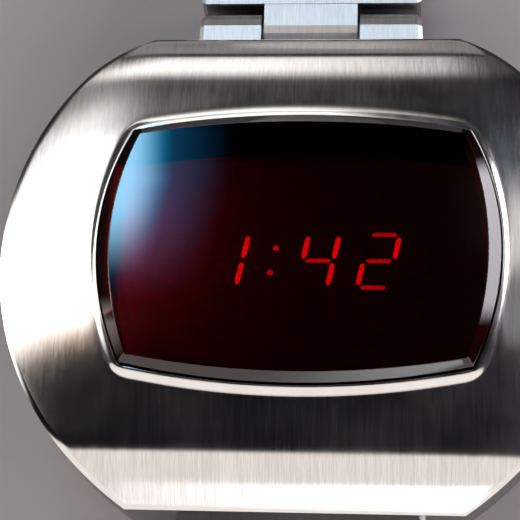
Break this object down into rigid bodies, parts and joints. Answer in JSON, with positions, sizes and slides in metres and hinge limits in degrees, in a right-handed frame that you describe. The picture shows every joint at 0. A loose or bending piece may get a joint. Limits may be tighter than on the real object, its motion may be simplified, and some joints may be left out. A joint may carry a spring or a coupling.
{
  "type": "digital wristwatch",
  "caption": "Brushed steel digital wristwatch with a barrel-shaped dark red crystal over glowing red digits, a side button, quarter-turn battery hatches and a hinged link bracelet.",
  "frame": {"origin": "centre of the case back's lower face", "axes": "+Z out of the dial, +Y towards 12 o'clock along the open bracelet, +X towards the button"},
  "size_m": [0.042, 0.1814, 0.0132],
  "materials": {
    "brushed_steel": "brushed",
    "polished_steel": "polished",
    "crystal_red": "polished",
    "black_plastic": "matt",
    "dark_ceramic": "matt",
    "led_red": "glowing",
    "board_green": "lacquered",
    "black_rubber": "matt",
    "gold_plate": "satin",
    "clear_glass": "polished",
    "magnet_metal": "satin"
  },
  "bodies": {
    "watch_head": {"case_body": "brushed_steel", "crystal": "crystal_red", "case_back": "brushed_steel", "button_collar": "polished_steel", "crystal_gasket": "black_rubber", "display_mask": "black_plastic", "display_board": "dark_ceramic", "hours_tens_digit": "led_red", "hours_units_digit": "led_red", "minutes_tens_digit": "led_red", "minutes_units_digit": "led_red", "colon": "led_red", "light_sensor": "clear_glass", "module_frame": "black_plastic", "circuit_board": "board_green", "logic_chip": "black_plastic", "driver_chip": "black_plastic", "quartz_can": "polished_steel", "trimmer_body": "dark_ceramic", "command_switch": "clear_glass", "hour_set_switch": "clear_glass", "minute_set_switch": "clear_glass", "battery_left": "polished_steel", "battery_right": "polished_steel", "battery_contact_left": "gold_plate", "battery_contact_right": "gold_plate", "back_gasket": "black_rubber", "button_spring": "polished_steel", "spring_bar_12": "polished_steel", "spring_bar_6": "polished_steel", "back_screw_1": "polished_steel", "back_screw_2": "polished_steel", "back_screw_3": "polished_steel", "back_screw_4": "polished_steel"},
    "button": {"command_button": "polished_steel", "button_magnet": "magnet_metal"},
    "trimmer": {"trimmer_rotor": "gold_plate"},
    "hatch_left": {"battery_hatch_left": "brushed_steel", "hatch_seal_left": "black_rubber"},
    "hatch_right": {"battery_hatch_right": "brushed_steel", "hatch_seal_right": "black_rubber"},
    "end_link_12": {"end_link_12": "brushed_steel"},
    "link_12_1": {"link_12_1": "brushed_steel"},
    "link_12_2": {"link_12_2": "brushed_steel"},
    "link_12_3": {"link_12_3": "brushed_steel"},
    "link_12_4": {"link_12_4": "brushed_steel"},
    "link_12_5": {"link_12_5": "brushed_steel"},
    "end_link_6": {"end_link_6": "brushed_steel"},
    "link_6_1": {"link_6_1": "brushed_steel"},
    "link_6_2": {"link_6_2": "brushed_steel"},
    "link_6_3": {"link_6_3": "brushed_steel"},
    "link_6_4": {"link_6_4": "brushed_steel"},
    "link_6_5": {"link_6_5": "brushed_steel"},
    "ladder": {"clasp_ladder": "brushed_steel"},
    "clasp": {"clasp_tray": "brushed_steel"},
    "cover": {"clasp_cover": "brushed_steel"}
  },
  "joints": [
    {"name": "button_push", "type": "slide", "parent": "watch_head", "child": "button", "axis": [1, 0, 0], "range_m": [-0.0009, 0], "stiffness_N_per_m": 700, "springref_m": 0.0006, "deforming": ["button_spring"]},
    {"name": "trimmer_turn", "type": "hinge", "parent": "watch_head", "child": "trimmer", "pos_m": [0.0065, -0.007, 0.0076], "axis": [0, 0, 1], "continuous": true},
    {"name": "hatch_left_turn", "type": "hinge", "parent": "watch_head", "child": "hatch_left", "pos_m": [-0.007, 0, 0], "axis": [0, 0, -1], "range_deg": [0, 90]},
    {"name": "hatch_right_turn", "type": "hinge", "parent": "watch_head", "child": "hatch_right", "pos_m": [0.007, 0, 0], "axis": [0, 0, -1], "range_deg": [0, 90]},
    {"name": "end_link_12_hinge", "type": "hinge", "parent": "watch_head", "child": "end_link_12", "pos_m": [0, 0.0146, 0.0016], "axis": [-1, 0, 0], "range_deg": [-5, 22]},
    {"name": "link_12_1_hinge", "type": "hinge", "parent": "end_link_12", "child": "link_12_1", "pos_m": [0, 0.0216, 0.0016], "axis": [-1, 0, 0], "range_deg": [-5, 22]},
    {"name": "link_12_2_hinge", "type": "hinge", "parent": "link_12_1", "child": "link_12_2", "pos_m": [0, 0.0314, 0.0016], "axis": [-1, 0, 0], "range_deg": [-5, 22]},
    {"name": "link_12_3_hinge", "type": "hinge", "parent": "link_12_2", "child": "link_12_3", "pos_m": [0, 0.0412, 0.0016], "axis": [-1, 0, 0], "range_deg": [-5, 22]},
    {"name": "link_12_4_hinge", "type": "hinge", "parent": "link_12_3", "child": "link_12_4", "pos_m": [0, 0.051, 0.0016], "axis": [-1, 0, 0], "range_deg": [-5, 22]},
    {"name": "link_12_5_hinge", "type": "hinge", "parent": "link_12_4", "child": "link_12_5", "pos_m": [0, 0.0608, 0.0016], "axis": [-1, 0, 0], "range_deg": [-5, 22]},
    {"name": "ladder_hinge", "type": "hinge", "parent": "link_12_5", "child": "ladder", "pos_m": [0, 0.0706, 0.0016], "axis": [-1, 0, 0], "range_deg": [-5, 22]},
    {"name": "end_link_6_hinge", "type": "hinge", "parent": "watch_head", "child": "end_link_6", "pos_m": [0, -0.0146, 0.0016], "axis": [1, 0, 0], "range_deg": [-5, 22]},
    {"name": "link_6_1_hinge", "type": "hinge", "parent": "end_link_6", "child": "link_6_1", "pos_m": [0, -0.0216, 0.0016], "axis": [1, 0, 0], "range_deg": [-5, 22]},
    {"name": "link_6_2_hinge", "type": "hinge", "parent": "link_6_1", "child": "link_6_2", "pos_m": [0, -0.0314, 0.0016], "axis": [1, 0, 0], "range_deg": [-5, 22]},
    {"name": "link_6_3_hinge", "type": "hinge", "parent": "link_6_2", "child": "link_6_3", "pos_m": [0, -0.0412, 0.0016], "axis": [1, 0, 0], "range_deg": [-5, 22]},
    {"name": "link_6_4_hinge", "type": "hinge", "parent": "link_6_3", "child": "link_6_4", "pos_m": [0, -0.051, 0.0016], "axis": [1, 0, 0], "range_deg": [-5, 22]},
    {"name": "link_6_5_hinge", "type": "hinge", "parent": "link_6_4", "child": "link_6_5", "pos_m": [0, -0.0608, 0.0016], "axis": [1, 0, 0], "range_deg": [-5, 22]},
    {"name": "clasp_hinge", "type": "hinge", "parent": "link_6_5", "child": "clasp", "pos_m": [0, -0.0706, 0.0016], "axis": [1, 0, 0], "range_deg": [-5, 22]},
    {"name": "cover_hinge", "type": "hinge", "parent": "clasp", "child": "cover", "pos_m": [0, -0.0926, 0.00215], "axis": [1, 0, 0], "range_deg": [0, 110]}
  ]
}
